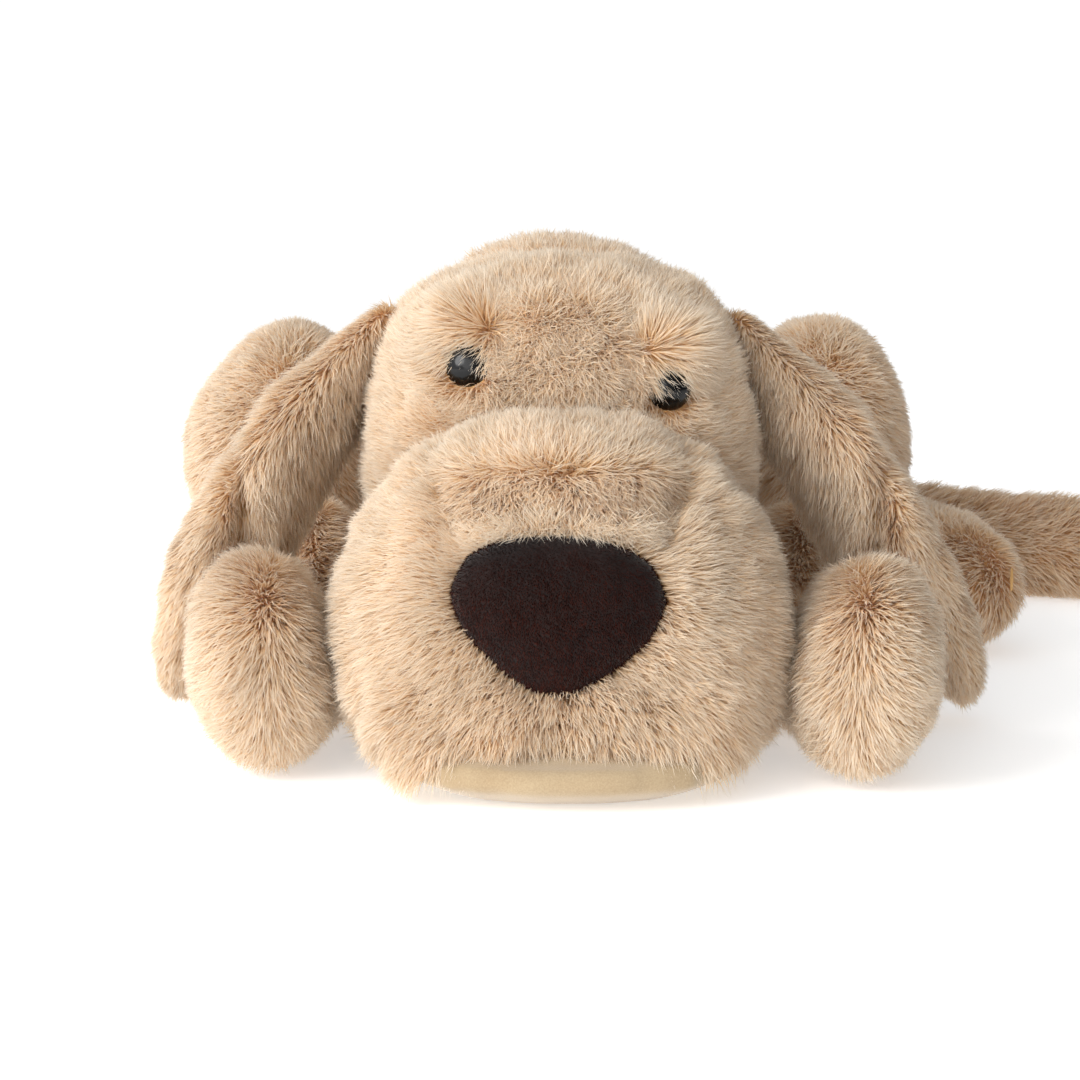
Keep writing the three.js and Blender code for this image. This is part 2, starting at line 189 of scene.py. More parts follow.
def cloth_material(name, shade, light, grain, roughness=0.85, sheen=0.3, height=0.25):
    """Knitted or brushed cloth: fine fibre relief over a slow drift of tone. grain is in metres."""
    material, tree, shader = new_material(name)
    place = node(tree, "ShaderNodeTexCoord")
    fibres = node(
        tree, "ShaderNodeTexNoise", {"Vector": place.outputs["Object"], "Scale": 1 / grain, "Detail": 4.0}
    )
    drifts = {"Vector": place.outputs["Object"], "Scale": 30.0, "Detail": 2.0}
    drift = node(tree, "ShaderNodeTexNoise", drifts)
    both = node(tree, MATH, {0: fibres.outputs[0], 1: drift.outputs[0]}, operation="ADD")
    share = node(tree, "ShaderNodeMapRange", {"Value": both.outputs[0], 1: 0.7, 2: 1.3})
    between = {"Factor": share.outputs[0], 6: linear(shade), 7: linear(light)}
    colour = node(tree, "ShaderNodeMix", between, data_type="RGBA")
    relief = node(
        tree, "ShaderNodeBump", {"Height": fibres.outputs[0], "Strength": height, "Distance": grain * 0.7}
    )
    tree.links.new(colour.outputs[2], shader.inputs["Base Color"])
    tree.links.new(relief.outputs[0], shader.inputs["Normal"])
    bloom = {"Sheen Weight": sheen, "Sheen Roughness": 0.5}
    settle(shader, {"Roughness": roughness, "Specular IOR Level": 0.2, **bloom})
    return material


def plastic_material(name, shade, light, roughness):
    """Injection-moulded plastic: an even colour with the faintest cloud, and the gloss of its polish."""
    material, tree, shader = new_material(name)
    place = node(tree, "ShaderNodeTexCoord")
    clouds = {"Vector": place.outputs["Object"], "Scale": 300.0, "Detail": 2.0}
    cloud = node(tree, "ShaderNodeTexNoise", clouds)
    between = {"Factor": cloud.outputs[0], 6: linear(shade), 7: linear(light)}
    colour = node(tree, "ShaderNodeMix", between, data_type="RGBA")
    gloss = node(
        tree, "ShaderNodeMapRange", {"Value": cloud.outputs[0], 3: roughness * 0.8, 4: roughness * 1.25}
    )
    tree.links.new(colour.outputs[2], shader.inputs["Base Color"])
    tree.links.new(gloss.outputs[0], shader.inputs["Roughness"])
    shader.inputs["Specular IOR Level"].default_value = 0.35
    return material


# Knitted plush, its polyester pile brushed up and sheared: soft matt strands, honey at the root, as painted
# shade deep in the coat, and cream at the tip, partly painted light, with a pale bloom at every edge that
# is seen side on.
LONG_PILE = pile_material("polyester_long_pile", "#dfb27c", "#eacb9e", "#f6ecdc", "#fff2ea", 0.8, 0.5)
# Flocked velour of the nose: near-black brown, with patches painted paler and darker as painted sheen, the
# shimmer of velour stroked different ways.
PAINTED_SHEEN_PATCHES = (0.55, 1.5, 260.0)
NOSE_PILE = pile_material(
    "polyester_velour_pile", "#0c0303", "#270e08", "#4a1c10", "#8a5a48", 0.04, 0.0, PAINTED_SHEEN_PATCHES, 0.12
)
# The knit that the pile stands in: warm and dull, seen only where the coat parts.
BACKING = cloth_material("knitted_plush_backing", "#d3a36c", "#e2bb88", 1.2 * MM)
# Velboa, short knitted pile sheared flat: an even, peach-skin softness on the chin and soles.
VELBOA = cloth_material("velboa_short_pile", "#a38c6c", "#b9a484", 0.7 * MM, 0.8, 0.6)
# The cloth under the nose's velour: dark, so that nothing pale shows between the fibres.
VELOUR = cloth_material("brushed_velour_backing", "#100706", "#220f0a", 0.6 * MM, 0.8, 0.3)
# Carded polyester fibrefill: white, lumpy and quite matt.
FIBREFILL = cloth_material("polyester_fibrefill", "#e4e1da", "#fbfaf7", 3 * MM, 0.95, 0.2, 0.6)
# Plain-woven cotton of the bean pouch: undyed, with a fine even grain.
CALICO = cloth_material("plain_woven_calico", "#cfc8b8", "#e3ddd0", 0.8 * MM, 0.85, 0.1)
# Woven satin tape of the label: smooth enough for a soft gloss.
SATIN = cloth_material("polyester_satin_tape", "#e9e6dd", "#f7f5ef", 0.3 * MM, 0.4, 0.1, 0.1)
# Spun polyester thread, dyed to go with the plush.
THREAD = cloth_material("spun_polyester_thread", "#a87d48", "#d0a66d", 0.4 * MM, 0.7, 0.2)
# Moulded acrylic, tumbled to a polish: black, with one clear highlight.
EYE_PLASTIC = plastic_material("polished_black_acrylic", "#030304", "#060607", 0.16)
# Moulded nylon, left in its own milky colour: a dull sheen.
NYLON = plastic_material("natural_nylon", "#dcdad2", "#efede6", 0.45)


# ---- Skins ----


def unit(vectors):
    """The vectors, each brought to a length of 1."""
    return vectors / np.maximum(np.linalg.norm(vectors, axis=-1, keepdims=True), 1e-9)


def put(name, mesh):
    """Puts a mesh into the scene as an object of its own."""
    obj = bpy.data.objects.new(name, mesh)
    bpy.context.scene.collection.objects.link(obj)
    return obj


def put_built(name, bm):
    """Puts what was built in a bmesh into the scene."""
    mesh = bpy.data.meshes.new(name)
    bm.to_mesh(mesh)
    bm.free()
    return put(name, mesh)


def applied(obj):
    """Makes the object's modifiers part of its mesh."""
    bpy.context.view_layer.update()
    graph = bpy.context.evaluated_depsgraph_get()
    mesh = bpy.data.meshes.new_from_object(obj.evaluated_get(graph), depsgraph=graph)
    obj.modifiers.clear()
    obj.data = mesh
    return obj


def hull_over(name, *nodes):
    """The closed skin stretched over these frame solids."""
    bm = bmesh.new()
    for point in corners(*nodes):
        bm.verts.new(point)
    bmesh.ops.remove_doubles(bm, verts=bm.verts, dist=0.2 * MM)
    bmesh.ops.convex_hull(bm, input=bm.verts)
    loose = [v for v in bm.verts if not v.link_faces]
    bmesh.ops.delete(bm, geom=loose, context="VERTS")
    return put_built(name, bm)


def copy_of(name, node_name):
    """A copy of one closed frame solid, with its loose triangles joined up."""
    bm = bmesh.new()
    bm.from_mesh(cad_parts[node_name].data)
    bmesh.ops.remove_doubles(bm, verts=bm.verts, dist=0.02 * MM)
    return put_built(name, bm)


def points_of(obj):
    co = np.empty(len(obj.data.vertices) * 3)
    obj.data.vertices.foreach_get("co", co)
    return co.reshape(-1, 3)


def normals_of(obj):
    out = np.empty(len(obj.data.vertices) * 3)
    obj.data.vertex_normals.foreach_get("vector", out)
    return out.reshape(-1, 3)


def set_points(obj, co):
    obj.data.vertices.foreach_set("co", np.ascontiguousarray(co, dtype=float).ravel())
    obj.data.update()


def edges_of(obj):
    pairs = np.empty(len(obj.data.edges) * 2, dtype=int)
    obj.data.edges.foreach_get("vertices", pairs)
    return pairs.reshape(-1, 2)


def eased(obj, rounds, share=0.5):
    """Evens the skin out: each point moves towards the middle of its neighbours."""
    co, pairs = points_of(obj), edges_of(obj)
    count = np.bincount(pairs.ravel(), minlength=len(co))[:, None]
    for _ in range(rounds):
        total = np.zeros_like(co)
        for axis in range(3):
            total[:, axis] = np.bincount(pairs[:, 0], co[pairs[:, 1], axis], len(co)) + np.bincount(
                pairs[:, 1], co[pairs[:, 0], axis], len(co)
            )
        co += share * (total / count - co)
    set_points(obj, co)


def fit(name, nodes, inside):
    """Brings a skin to its solids' measure, less the height that its pile stands. An ear is measured
    square to its own leaf."""
    obj = made[name]
    co, solid = points_of(obj), corners(*nodes)
    frame_of = np.eye(3)
    if name.startswith("ear"):
        across = ear_across(name)
        length = unit(np.cross(across, [0.0, 1.0, 0.0]))
        frame_of = np.array([across, length, np.cross(across, length)])
    for axis in frame_of:
        at, limit = co @ axis, solid @ axis
        low, high = limit.min() + inside, limit.max() - inside
        if abs(axis[2]) > 0.99 and limit.min() < 2 * MM:
            low = limit.min() + min(1.5 * MM, inside)
        scaled = low + (at - at.min()) * (high - low) / (at.max() - at.min())
        co = co + np.outer(scaled - at, axis)
    set_points(obj, co)


def away_from_line(co, line):
    """Each point's distance to a line through these points."""
    best = np.full(len(co), np.inf)
    for start, end in zip(line[:-1], line[1:]):
        span = end - start
        t = zero_to_one((co - start) @ span / (span @ span))
        best = np.minimum(best, np.linalg.norm(co - start - t[:, None] * span, axis=1))
    return best


def bulge(obj, centre, radii, height):
    """Extra stuffing under the skin round this place."""
    co = points_of(obj)
    share = np.exp(-(((co - centre) / np.array(radii)) ** 2).sum(axis=1))
    set_points(obj, co + normals_of(obj) * (share * height)[:, None])


def seam(obj, line, width, depth):
    """Draws the skin in along a seam through these points."""
    co = points_of(obj)
    share = np.exp(-((away_from_line(co, np.array(line, dtype=float)) / width) ** 2))
    set_points(obj, co - normals_of(obj) * (share * depth)[:, None])


def rim_of(obj, across, width):
    """How near each point is to the rim where two panels meet: the plane through the middle."""
    co = points_of(obj)
    centre = (co.min(axis=0) + co.max(axis=0)) / 2
    return np.exp(-(((co - centre) @ across / width) ** 2))


# name: (source, solids that it is cut over, mm that it lies inside them, evening rounds, its own solids)
SOFT_PARTS = {
    "torso": (hull_over, ("torso_skin", "belly_panel"), 6.5, 6, ("torso_skin", "belly_panel")),
    "head": (hull_over, ("head_skin",), 6.5, 8, ("head_skin",)),
    "muzzle": (hull_over, ("muzzle_skin",), 6.5, 6, ("muzzle_skin",)),
    "tail": (copy_of, ("tail_stuffing",), -1.5, 6, ("tail_skin",)),
}
for _side, _ in SIDES:
    _leaves = (f"ear_{_side}_outer", f"ear_{_side}_inner")
    SOFT_PARTS[f"ear_{_side}"] = (hull_over, _leaves, 4.0, 4, _leaves)
    for _limb in (f"front_leg_{_side}", f"hind_leg_{_side}"):
        _own = (f"{_limb}_skin", f"{_limb}_sole")
        SOFT_PARTS[_limb] = (copy_of, (f"{_limb}_stuffing",), -1.5, 6, _own)


# How much nearer than usual a skin comes to its solids' measure.
CLOSER = {"ear_left": 2.5 * MM, "ear_right": 2.5 * MM, "tail": 5 * MM, "torso": -2.5 * MM}


def cut_skin(name):
    """An even mesh over a part's solids, a little smaller than the stuffed part will be."""
    source, nodes, inset, rounds, _ = SOFT_PARTS[name]
    obj = source(f"{name}_plush", *nodes)
    even = obj.modifiers.new("even", "REMESH")
    even.mode, even.voxel_size, even.adaptivity = "VOXEL", VOXEL, 0.0
    applied(obj)
    eased(obj, rounds)
    set_points(obj, points_of(obj) - normals_of(obj) * inset * MM)
    eased(obj, 2)
    floor_touch = points_of(obj)
    floor_touch[:, 2] = np.maximum(floor_touch[:, 2], 1.5 * MM)
    set_points(obj, floor_touch)
    made[name] = obj


STUFFING_PRESSURE = 4.0
STUFFING_FRAMES = 20


def stuff(names):
    """Blows the skins up together as cloth. The flats under them and the rims of the ears hold still."""
    before = {}
    for name in names:
        obj = made[name]
        co = points_of(obj)
        before[name] = co
        hold = zero_to_one((SEAM_Z - co[:, 2]) / (4 * MM))
        if name.startswith("ear"):
            hold = np.maximum(hold, rim_of(obj, ear_across(name), 4 * MM))
        group = obj.vertex_groups.new(name="held")
        for i in np.nonzero(hold > 0.02)[0]:
            group.add([int(i)], float(min(hold[i], 1.0)), "REPLACE")
        cloth = obj.modifiers.new("stuffed", "CLOTH")
        cloth.settings.quality = 4
        cloth.settings.mass = 0.3
        cloth.settings.tension_stiffness = cloth.settings.compression_stiffness = 12
        cloth.settings.bending_stiffness = 1.0
        cloth.settings.use_pressure = True
        cloth.settings.uniform_pressure_force = STUFFING_PRESSURE
        cloth.settings.vertex_group_mass = "held"
        cloth.settings.effector_weights.gravity = 0
        cloth.collision_settings.use_collision = False
        cloth.point_cache.frame_start, cloth.point_cache.frame_end = 1, STUFFING_FRAMES
    for step in range(1, STUFFING_FRAMES + 1):
        bpy.context.scene.frame_set(step)
    for name in names:
        obj = applied(made[name])
        move = points_of(obj) - before[name]
        length = np.linalg.norm(move, axis=1, keepdims=True)
        set_points(obj, before[name] + move * np.minimum(1, SWELL / np.maximum(length, 1e-9)))
        obj.vertex_groups.clear()
    bpy.context.scene.frame_set(1)


def ear_across(name):
    """Across an ear's leaf, from its inner panel to its outer one."""
    way = middle(f"{name}_outer") - middle(f"{name}_inner")
    return way / np.linalg.norm(way)


for _name in SOFT_PARTS:
    cut_skin(_name)
stuff(list(SOFT_PARTS))
for _name in SOFT_PARTS:
    finer = made[_name].modifiers.new("finer", "SUBSURF")
    finer.levels = finer.render_levels = 1
    applied(made[_name])
    fit(_name, SOFT_PARTS[_name][4], PILE_STANDS - CLOSER.get(_name, 0))


# ---- Seams, darts and extra stuffing ----


def shape_head():
    head = made["head"]
    for name, x in SIDES:
        front, look = EYES[name]
        bulge(head, brow_of(name), (20 * MM, 20 * MM, 9 * MM), 8 * MM)
        bulge(head, front + mm(x * 4.0, 6.0, -24.0), (24 * MM, 22 * MM, 12 * MM), 3 * MM)
        seam(head, [front - look * 15 * MM, front - look * 9 * MM], 10 * MM, 3 * MM)
        parting = front + mm(-x * 20, 14, 14)
        line = [parting + mm(x * 4, 6, 16), parting, parting - mm(x * 3, 0, 22)]
        seam(head, line, 6 * MM, 5 * MM)


def shape_skull():
    """The head is broad at the corners that the ears hang from, and flat between them."""
    head = made["head"]
    low, high = (np.array(c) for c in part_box("head_skin"))
    for _, x in SIDES:
        corner = np.array([x * (high[0] - 26 * MM), (low[1] + high[1]) / 2 - 8 * MM, high[2] - 30 * MM])
        bulge(head, corner, (30 * MM, 40 * MM, 22 * MM), 4.5 * MM)
    co = points_of(head)
    top = zero_to_one((co[:, 2] - high[2] + 34 * MM) / (30 * MM)) ** 2
    co[:, 2] -= top * 1.5 * MM
    set_points(head, co)


def brow_of(name):
    """The middle of the brow over an eye."""
    x = 1.0 if name == "left" else -1.0
    return EYES[name][0] + mm(x * 2.0, 15.0, 15.5)


def shape_muzzle():
    muzzle = made["muzzle"]
    for x in (1, -1):
        corner = np.array([x * (NOSE_HIGH[0] - 2 * MM), NOSE[1] + 10 * MM, NOSE_HIGH[2] - 6 * MM])
        ridge = corner + mm(x * 13, 26, 30)
        back = ridge + mm(-x * 2, 40, 18)
        seam(muzzle, [corner, ridge, back], 8 * MM, 5 * MM)
        jowl = np.array([x * 60 * MM, NOSE[1] + 22 * MM, NOSE[2] - 30 * MM])
        bulge(muzzle, jowl, (34 * MM, 34 * MM, 32 * MM), 5 * MM)
    bridge = np.array([NOSE[0], NOSE[1] + 26 * MM, NOSE_HIGH[2] + 26 * MM])
    bulge(muzzle, bridge, (36 * MM, 26 * MM, 20 * MM), 5 * MM)
    apex = np.array([NOSE[0], NOSE_LOW[1] + 6 * MM, NOSE_LOW[2] + 4 * MM])
    lip_line = [apex, apex + mm(0, 8, -22), apex + mm(0, 20, -34)]
    seam(muzzle, lip_line, 8 * MM, 6 * MM)
    lip = np.array([NOSE[0], NOSE_LOW[1] + 12 * MM, 22 * MM])
    bulge(muzzle, lip, (74 * MM, 34 * MM, 20 * MM), 9 * MM)
    above = np.array([NOSE[0], NOSE_LOW[1] + 10 * MM, NOSE_HIGH[2] + 4 * MM])
    bulge(muzzle, above, (44 * MM, 26 * MM, 13 * MM), 6 * MM)
    for x in (1, -1):
        beside = np.array([NOSE[0] + x * 48 * MM, NOSE_LOW[1] + 14 * MM, NOSE[2] - 4 * MM])
        bulge(muzzle, beside, (18 * MM, 24 * MM, 30 * MM), 3.5 * MM)
    low = points_of(muzzle)
    # The jowls' hem hangs forward and down over the chin.
    hem = zero_to_one((50 * MM - low[:, 2]) / (25 * MM))
    hem = hem * zero_to_one((NOSE[1] + 34 * MM - low[:, 1]) / (24 * MM))
    low -= hem[:, None] * mm(0, 17, 12)
    low[:, 2] = np.maximum(low[:, 2], 11 * MM)
    set_points(muzzle, low)


def shape_paws():
    for name, x in SIDES:
        for part, toe in ((f"front_leg_{name}", TOES[name]), (f"hind_leg_{name}", HIND_TOES[name])):
            leg = made[part]
            dart = [toe + np.array([0, 0, 26 * MM]), toe, toe - np.array([0, 0, 24 * MM])]
            seam(leg, dart, 8 * MM, 3 * MM)
            seam(leg, [toe, toe + np.array([0, 3 * MM, 1 * MM])], 12 * MM, 1.5 * MM)


def shape_front_paws():
    """The paws lie against the muzzle low down, and round off on the outside."""
    for name, x in SIDES:
        leg, toe = made[f"front_leg_{name}"], TOES[name]
        bulge(leg, toe + mm(-x * 26, 26, -22), (20 * MM, 34 * MM, 28 * MM), 15 * MM)
        bulge(leg, toe + mm(-x * 26, 30, 22), (20 * MM, 34 * MM, 24 * MM), 6 * MM)
        bulge(leg, toe + mm(x * 30, 26, -40), (22 * MM, 44 * MM, 22 * MM), -9 * MM)
        rest = points_of(leg)
        rest[:, 2] = np.maximum(rest[:, 2], 1.5 * MM)
        set_points(leg, rest)


def shape_haunches():
    """The haunches slope away on the outside of their tops."""
    for name, x in SIDES:
        low, high = (np.array(c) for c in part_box(f"hind_leg_{name}_skin"))
        outside = abs(high[0] if x > 0 else low[0]) - 24 * MM
        corner = np.array([x * outside, (low[1] + high[1]) / 2, high[2] - 16 * MM])
        bulge(made[f"hind_leg_{name}"], corner, (34 * MM, 90 * MM, 34 * MM), (-6 if x > 0 else -9) * MM)


def shape_ears():
    for name, x in SIDES:
        ear = made[f"ear_{name}"]
        across = ear_across(f"ear_{name}")
        co = points_of(ear)
        rim = rim_of(ear, across, 4.5 * MM) * zero_to_one((co[:, 2].max() - co[:, 2]) / (40 * MM))
        co = co - normals_of(ear) * (rim * 5 * MM)[:, None]
        # The root reaches in to the seam that it is sewn into, and the tip turns in a little.
        height = (co[:, 2] - co[:, 2].min()) / np.ptp(co[:, 2])
        up_the_ear = np.array([-x * 0.75, 0.0, 0.35])
        co = co + np.outer(zero_to_one((height - 0.6) / 0.4) ** 1.5 * 24 * MM, up_the_ear)
        co[:, 0] -= x * zero_to_one((0.4 - height) / 0.4) * (13 if x < 0 else 2) * MM
        set_points(ear, co)


shape_skull()
shape_head()
shape_muzzle()
shape_paws()
shape_front_paws()
shape_haunches()
shape_ears()
for _obj in made.values():
    eased(_obj, 1)


# ---- Which way the pile lies, and where it grows ----


def near(co, point, radius):
    return np.exp(-(np.linalg.norm(co - point, axis=1) / radius) ** 2)


def depth_inside(co, obj):
    """How deep each point lies inside another skin, in metres; outside it is negative."""
    tree = BVHTree.FromObject(obj, bpy.context.evaluated_depsgraph_get())
    out = np.empty(len(co))
    for i, point in enumerate(co):
        place, normal, _, _ = tree.find_nearest(Vector(point))
        out[i] = (place - Vector(point)).dot(normal)
    return out


def groom(name, comb, furred, length, stand, order=1.0):
    """Writes on a skin the way its pile lies, how much grows, how long it is, how upright it stands and how
    well it keeps to its way: 1 is combed, 0 ruffled."""
    mesh = made[name].data
    facts = {"comb": unit(comb) * np.reshape(order, (-1, 1)), "skin_normal": normals_of(made[name])}
    for key, values in facts.items():
        layer = mesh.attributes.new(key, "FLOAT_VECTOR", "POINT")
        layer.data.foreach_set("vector", np.ascontiguousarray(values, dtype=np.float32).ravel())
    for key, values in {"furred": furred, "reach": length, "stand": stand}.items():
        layer = mesh.attributes.new(key, "FLOAT", "POINT")
        layer.data.foreach_set("value", np.clip(values, 0, 3).astype(np.float32))


def clear_of(name, others, co):
    """1 where the pile is free to grow, 0 where the skin is inside a neighbour or lies on the floor."""
    free = zero_to_one((co[:, 2] - SEAM_Z + 1 * MM) / (2 * MM))
    if name == "muzzle":
        free[:] = 1.0
    for other in others:
        free *= zero_to_one(1 - (depth_inside(co, made[other]) - 1 * MM) / (3 * MM))
    return free


WIDE = np.array([0.6, 1, 1])  # stretches a round patch to an eyelid's width


def groom_head():
    co = points_of(made["head"])
    face = middle("head_skin") + mm(0, -150, -30)
    comb = unit(co - face)
    furred = clear_of("head", ["muzzle", "torso"], co)
    length, stand = np.full(len(co), 0.82), np.full(len(co), 0.95)
    forehead = near(co, (EYES["left"][0] + EYES["right"][0]) / 2 + mm(0, 8, 6), 34 * MM)
    comb = comb + forehead[:, None] * np.array([0.0, -0.3, -1.9])
    order = 1 - 0.5 * forehead
    brows = np.zeros(len(co))
    for name, x in SIDES:
        front, look = EYES[name]
        off = co - (front - look * 13 * MM)
        flat = off - (off @ look)[:, None] * look
        from_axis = np.linalg.norm(flat, axis=1)
        round_eye = from_axis * np.where(flat[:, 2] > 0, 1.35, 0.78)
        furred *= zero_to_one((round_eye - 7.5 * MM) / (1.5 * MM))
        around = np.exp(-((from_axis / (15 * MM)) ** 2))
        below = zero_to_one(0.5 - flat[:, 2] / (8 * MM))
        length *= 1 - 0.35 * around * below
        comb = comb * (1 - 0.8 * around * below)[:, None] + unit(flat) * (2.0 * around * below)[:, None]
        source = front + mm(-x * 11, 12, 9)
        brow = near(co, brow_of(name) + mm(0, 0, -3), 17 * MM)
        lid = zero_to_one((16 * MM - (co - front)[:, 2]) / (8 * MM))
        fan = unit(co - source) + np.array([x * 0.1, -0.2, 0]) - lid[:, None] * np.array([0, 0.3, 0.75])
        comb = comb * (1 - brow)[:, None] + fan * (2.2 * brow)[:, None]
        lid_middle = front - look * 13 * MM + mm(0, 0, 10)
        over_lid = near(co * WIDE, lid_middle * WIDE, 7 * MM)
        comb = comb * (1 - over_lid)[:, None] + over_lid[:, None] * np.array([x * 1.3, -0.55, -0.95])
        stand = stand * (1 - 0.15 * over_lid)
        brows += brow
        length += 0.5 * brow - 0.05 * over_lid
        order = np.maximum(order, np.maximum(brow, over_lid))
        recess = near(co, front + mm(-x * 17, 12, 20), 6 * MM)
        stand *= 1 - 0.4 * recess
    groom("head", comb, furred * (1 + 0.4 * forehead + 0.5 * brows), length, stand, order)


def groom_muzzle():
    co = points_of(made["muzzle"])
    away = unit(co - (NOSE + mm(0, 20, 6)))
    comb = away + np.array([0, 0.5, -0.55]) * zero_to_one(np.abs(co[:, 0]) / 0.1)[:, None]
    # On the bridge the pile runs down to the nose and over its top edge.
    over = zero_to_one((co[:, 2] - NOSE_HIGH[2] + 6 * MM) / (14 * MM))
    over = over * np.exp(-((co[:, 0] / (48 * MM)) ** 4))
    over *= zero_to_one(1 - (co[:, 2] - NOSE_HIGH[2] - 14 * MM) / (14 * MM))
    down = np.array([0, -0.8, -0.7]) + np.outer(co[:, 0] / 0.1, [0.5, 0, 0])
    comb = comb * (1 - over)[:, None] + down * over[:, None]
    furred = clear_of("muzzle", ["head"], co)
    seat = depth_inside(co, made["nose"])
    furred *= zero_to_one(1 - (seat - 1.0 * MM) / (1.5 * MM))
    furred *= zero_to_one(1 - (depth_inside(co, made["chin"]) + 1 * MM) / (2 * MM))
    close = np.exp(-((np.minimum(seat, 0) / (12 * MM)) ** 2))
    hem = zero_to_one((34 * MM - co[:, 2]) / (14 * MM))
    comb = comb + hem[:, None] * np.array([0, -0.5, -1.2])
    length = 0.85 + 0.1 * close + 0.3 * close * over + 0.4 * hem
    stand = 0.95 - 0.3 * close * (1 - over)
    groom("muzzle", comb, furred * (1 + 0.5 * over + 0.4 * close), length, stand, 1 - 0.2 * over)


def parted_from(co, toe):
    """A paw's pile runs down its front and off to both sides of the line between the toes."""
    aside = np.clip((co[:, 0] - toe[0]) / (10 * MM), -1, 1)
    return np.outer(aside, [0.9, 0, 0]) + np.array([0, -0.2, -0.7])


def groom_limbs():
    for name, x in SIDES:
        part, toe = f"front_leg_{name}", TOES[name]
        co = points_of(made[part])
        comb = parted_from(co, toe) + np.array([x * 0.15, 0, 0])
        furred = clear_of(part, ["torso"], co)
        parting = near(co * [1, 0.4, 0.35], toe * [1, 0.4, 0.35], 7 * MM)
        length = 0.85 + 0.2 * near(co, toe, 30 * MM)
        groom(part, comb, furred * (1 + 0.6 * parting), length, np.full(len(co), 0.97), 1 - 0.15 * parting)
        part, toe = f"hind_leg_{name}", HIND_TOES[name]
        co = points_of(made[part])
        star = near(co, toe, 40 * MM)
        comb = np.array([x * 0.3, 0.8, -1.0]) * (1 - star)[:, None]
        comb = comb + star[:, None] * 1.5 * parted_from(co, toe)
        crease = near(co * [1, 1, 0.35], toe * [1, 1, 0.35], 9 * MM)
        even = np.ones(len(co))
        furred = clear_of(part, ["torso"], co) * (1 + crease)
        groom(part, comb, furred, 0.82 * even, 0.95 * even, 1 - 0.2 * crease)
        part = f"ear_{name}"
        co = points_of(made[part])
        across = ear_across(part)
        side_on = (co - middle(f"{part}_wadding")) @ across
        inner = zero_to_one(-side_on / (6 * MM))
        comb = np.array([x * 0.5, -0.05, -0.86]) + unit(co - middle(f"{part}_wadding")) * 0.15
        parted = np.sign(side_on) * np.exp(-((side_on / (9 * MM)) ** 2))
        comb = comb + across * (1.1 * parted)[:, None]
        comb = comb + inner[:, None] * np.array([0, 0, -0.5])
        free = zero_to_one(-(depth_inside(co, made["head"]) + 3 * MM) / (3 * MM))
        crown = zero_to_one((co[:, 2] - co[:, 2].max() + 40 * MM) / (30 * MM))
        comb = comb + across * (0.9 * parted * crown)[:, None]
        length = (0.74 + 0.4 * inner) * (1 - 0.5 * crown)
        groom(part, comb, free * (1 + 0.5 * crown), length, 1.0 - 0.15 * inner * (1 - crown))


def groom_body():
    co = points_of(made["torso"])
    comb = np.tile([0.0, 1.0, -0.35], (len(co), 1))
    groom("torso", comb, clear_of("torso", ["head"], co), np.ones(len(co)), np.ones(len(co)))
    co = points_of(made["tail"])
    all_of_it = np.ones(len(co))
    at_root = zero_to_one(1 - (co[:, 0] - co[:, 0].min()) / (14 * MM))
    middle_of_root = co[at_root > 0.5].mean(axis=0)
    outwards = unit((co - middle_of_root) * np.array([0.2, 1, 1]))
    comb = np.tile([1.0, 0.0, -0.1], (len(co), 1)) + at_root[:, None] * outwards * 1.5
    groom("tail", comb, all_of_it, all_of_it, all_of_it)


# ---- Smooth short-pile parts ----


def pad(key, name, nodes, voxel, inset, rounds):
    obj = hull_over(name, *nodes)
    even = obj.modifiers.new("even", "REMESH")
    even.mode, even.voxel_size = "VOXEL", voxel
    applied(obj)
    eased(obj, rounds)
    set_points(obj, points_of(obj) - normals_of(obj) * inset)
    finer = obj.modifiers.new("finer", "SUBSURF")
    finer.levels = finer.render_levels = 1
    made[key] = applied(obj)
    fit(key, nodes, 0.3 * MM)


pad("chin", "chin_panel_velboa", ("chin_panel",), 4 * MM, 0.5 * MM, 4)
pad("nose", "nose_velour_cloth", ("nose_cover",), 3 * MM, 1.0 * MM, 6)
_under_hem = np.array([0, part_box("chin_panel")[0][1] + 8 * MM, 30 * MM])
bulge(made["chin"], _under_hem, (80 * MM, 40 * MM, 14 * MM), -7 * MM)
groom_head()
groom_muzzle()
groom_limbs()
groom_body()
nose_points = points_of(made["nose"])
groom("nose", np.tile([0.1, -0.2, -1.0], (len(nose_points), 1)), np.ones(len(nose_points)),
      np.ones(len(nose_points)), np.ones(len(nose_points)))


# ---- Growing the pile ----


